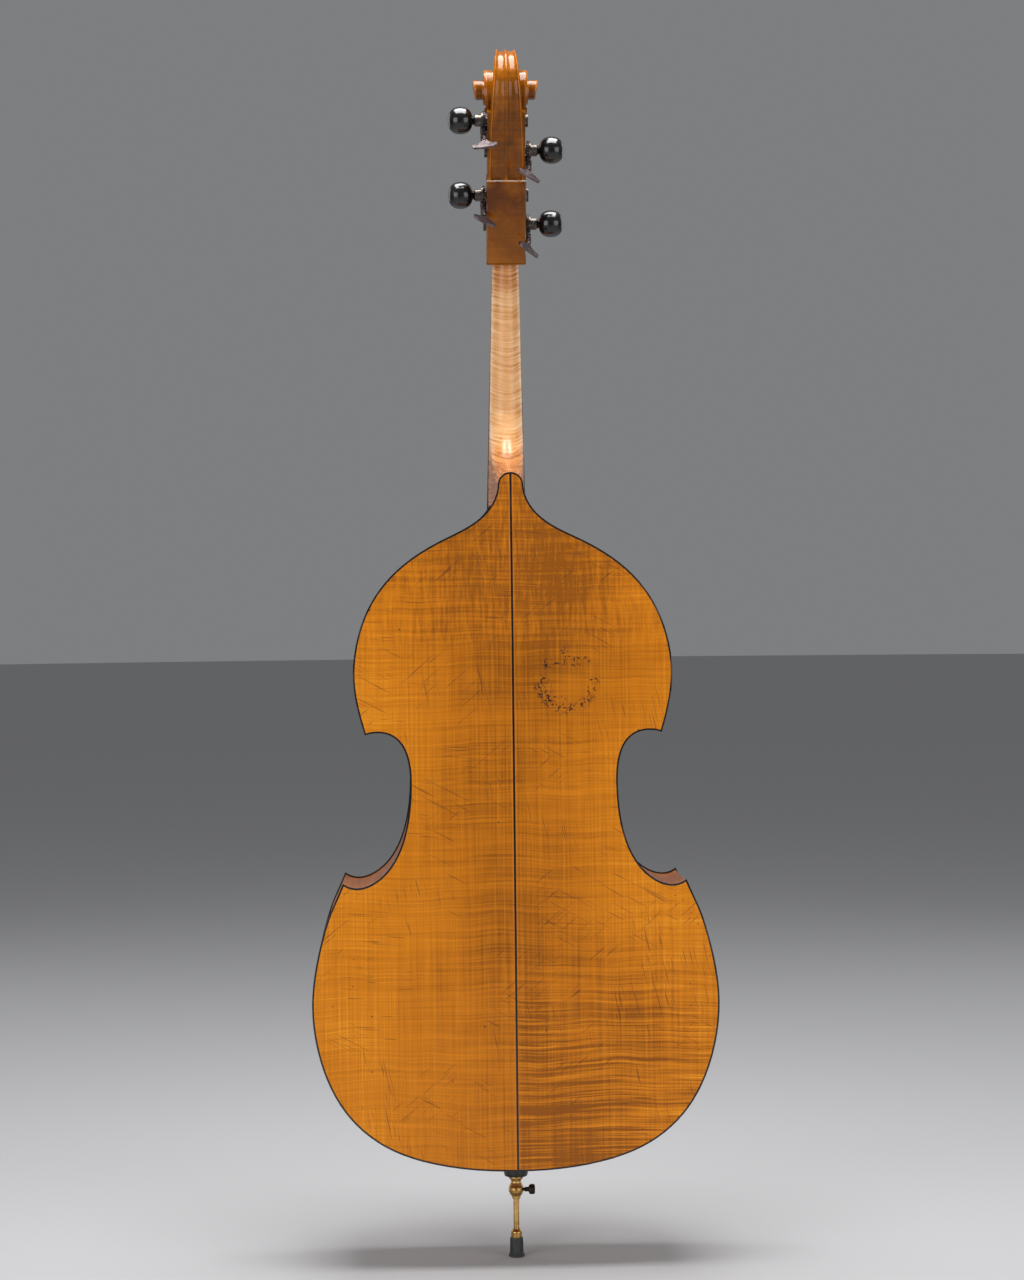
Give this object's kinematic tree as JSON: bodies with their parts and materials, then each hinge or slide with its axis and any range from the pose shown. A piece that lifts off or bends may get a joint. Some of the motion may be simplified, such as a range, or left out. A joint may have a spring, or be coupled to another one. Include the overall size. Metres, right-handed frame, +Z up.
{
  "type": "double bass",
  "caption": "Upright double bass with arched front, flat folded back, scroll head, worm-geared tuning machines, strung bridge and tailpiece, and an adjustable endpin.",
  "frame": {"origin": "tip of the endpin's rubber foot, on the instrument's centre plane", "axes": "+Z up the instrument, +Y towards the flat back (the player's side), strings face -Y, +X towards the treble (G string) side"},
  "size_m": [0.682, 0.395, 2.0553],
  "materials": {
    "back_maple": "gloss varnish over flamed maple",
    "rib_maple": "gloss varnish over flamed maple",
    "black_inlay": "satin",
    "top_spruce": "gloss varnish over spruce",
    "inner_spruce": "bare",
    "neck_maple": "oiled",
    "head_maple": "gloss varnish",
    "ebony": "satin",
    "bridge_maple": "bare",
    "string_steel": "wound",
    "brass": "polished",
    "dark_steel": "knurled",
    "rubber": "matt",
    "aged_iron": "aged",
    "gear_steel": "worn",
    "black_knob": "polished"
  },
  "bodies": {
    "body": {"back_treble": "back_maple", "back_bass": "back_maple", "rib_upper_treble": "rib_maple", "rib_upper_bass": "rib_maple", "rib_waist_treble": "rib_maple", "rib_waist_bass": "rib_maple", "rib_lower_treble": "rib_maple", "rib_lower_bass": "rib_maple", "back_strip": "black_inlay", "binding": "black_inlay", "top_treble": "top_spruce", "top_bass": "top_spruce", "corner_blocks": "inner_spruce", "end_block": "inner_spruce", "neck_block": "inner_spruce", "linings": "inner_spruce", "back_braces": "inner_spruce", "bass_bar": "inner_spruce", "sound_post": "inner_spruce", "neck": "neck_maple", "head": "head_maple", "fingerboard": "ebony", "nut": "ebony", "saddle": "ebony", "tailpiece": "ebony", "endpin_plug": "ebony", "bridge": "bridge_maple", "string_d": "string_steel", "string_a": "string_steel", "string_g": "string_steel", "string_e": "string_steel", "tail_wire": "string_steel", "endpin_collar": "brass", "machine_plates": "aged_iron", "machine_screws": "aged_iron"},
    "endpin": {"endpin_rod": "brass", "endpin_ferrule": "brass", "endpin_foot": "rubber"},
    "endpin_screw": {"endpin_screw": "dark_steel"},
    "key_d": {"key_d": "aged_iron"},
    "peg_d": {"gear_d": "gear_steel", "roller_d": "gear_steel", "winding_d": "string_steel", "knob_d": "black_knob"},
    "key_a": {"key_a": "aged_iron"},
    "peg_a": {"gear_a": "gear_steel", "roller_a": "gear_steel", "winding_a": "string_steel", "knob_a": "black_knob"},
    "key_g": {"key_g": "aged_iron"},
    "peg_g": {"gear_g": "gear_steel", "roller_g": "gear_steel", "winding_g": "string_steel", "knob_g": "black_knob"},
    "key_e": {"key_e": "aged_iron"},
    "peg_e": {"gear_e": "gear_steel", "roller_e": "gear_steel", "winding_e": "string_steel", "knob_e": "black_knob"}
  },
  "joints": [
    {"name": "endpin_slide", "type": "slide", "parent": "body", "child": "endpin", "axis": [0, 0, 1], "range_m": [-0.25, 0.05]},
    {"name": "endpin_screw_turn", "type": "hinge", "parent": "body", "child": "endpin_screw", "pos_m": [-0.02, 0, 0.114], "axis": [-1, 0, 0], "range_deg": [0, 360]},
    {"name": "key_d_turn", "type": "hinge", "parent": "body", "child": "key_d", "pos_m": [0.0372, 0.03896, 1.91382], "axis": [0, 0.866, -0.5], "continuous": true},
    {"name": "peg_d_turn", "type": "hinge", "parent": "body", "child": "peg_d", "pos_m": [0.0372, 0.04886, 1.93097], "axis": [1, 0, 0], "continuous": true},
    {"name": "key_a_turn", "type": "hinge", "parent": "body", "child": "key_a", "pos_m": [-0.0372, 0.01959, 1.86588], "axis": [0, 0.866, -0.5], "continuous": true},
    {"name": "peg_a_turn", "type": "hinge", "parent": "body", "child": "peg_a", "pos_m": [-0.0372, 0.02949, 1.88303], "axis": [1, 0, 0], "continuous": true},
    {"name": "key_g_turn", "type": "hinge", "parent": "body", "child": "key_g", "pos_m": [0.0372, -0.00952, 1.79384], "axis": [0, 0.866, -0.5], "continuous": true},
    {"name": "peg_g_turn", "type": "hinge", "parent": "body", "child": "peg_g", "pos_m": [0.0372, 0.00038, 1.81099], "axis": [1, 0, 0], "continuous": true},
    {"name": "key_e_turn", "type": "hinge", "parent": "body", "child": "key_e", "pos_m": [-0.0372, -0.02851, 1.74683], "axis": [0, 0.866, -0.5], "continuous": true},
    {"name": "peg_e_turn", "type": "hinge", "parent": "body", "child": "peg_e", "pos_m": [-0.0372, -0.01861, 1.76398], "axis": [1, 0, 0], "continuous": true}
  ],
  "couplings": [
    {"joint": "key_d_turn", "follows": "peg_d_turn", "ratio": -20},
    {"joint": "key_a_turn", "follows": "peg_a_turn", "ratio": -20},
    {"joint": "key_g_turn", "follows": "peg_g_turn", "ratio": -20},
    {"joint": "key_e_turn", "follows": "peg_e_turn", "ratio": -20}
  ]
}
